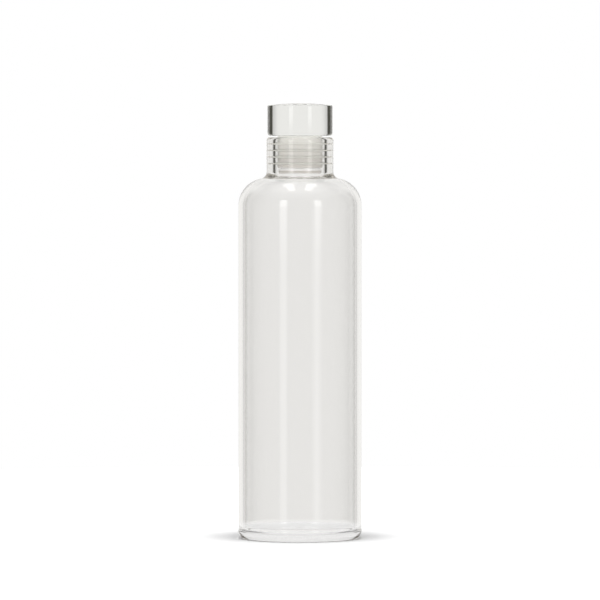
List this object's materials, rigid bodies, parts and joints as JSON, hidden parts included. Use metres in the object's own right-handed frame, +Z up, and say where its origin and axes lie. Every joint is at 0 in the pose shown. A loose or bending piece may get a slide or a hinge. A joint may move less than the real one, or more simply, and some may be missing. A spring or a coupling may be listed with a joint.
{
  "type": "glass water bottle",
  "caption": "Straight-sided clear glass water bottle with a rounded shoulder, a short plain neck and a lift-out plug stopper with soft sealing rings and a solid glass head.",
  "frame": {"origin": "middle of the base, on the plane of the foot ring that the bottle stands on", "axes": "+Z up along the bottle's axis of symmetry, towards the stopper; X and Y are any two level directions"},
  "size_m": [0.065, 0.065, 0.2294],
  "materials": {
    "bottle_glass": "clear, blown and fire-polished",
    "head_glass": "clear, pressed and polished",
    "plug_plastic": "translucent white, moulded",
    "cap_plastic": "translucent white, moulded",
    "seal_silicone": "soft, translucent, satin"
  },
  "bodies": {
    "bottle": {"glass_bottle": "bottle_glass"},
    "stopper": {"stopper_head": "head_glass", "stopper_plug": "plug_plastic", "plug_end_cap": "cap_plastic", "seal_ring_1": "seal_silicone", "seal_ring_2": "seal_silicone", "seal_ring_3": "seal_silicone", "seal_ring_4": "seal_silicone"}
  },
  "joints": [
    {"name": "stopper_lift", "type": "slide", "parent": "bottle", "child": "stopper", "axis": [0, 0, 1], "range_m": [0, 0.045]}
  ]
}
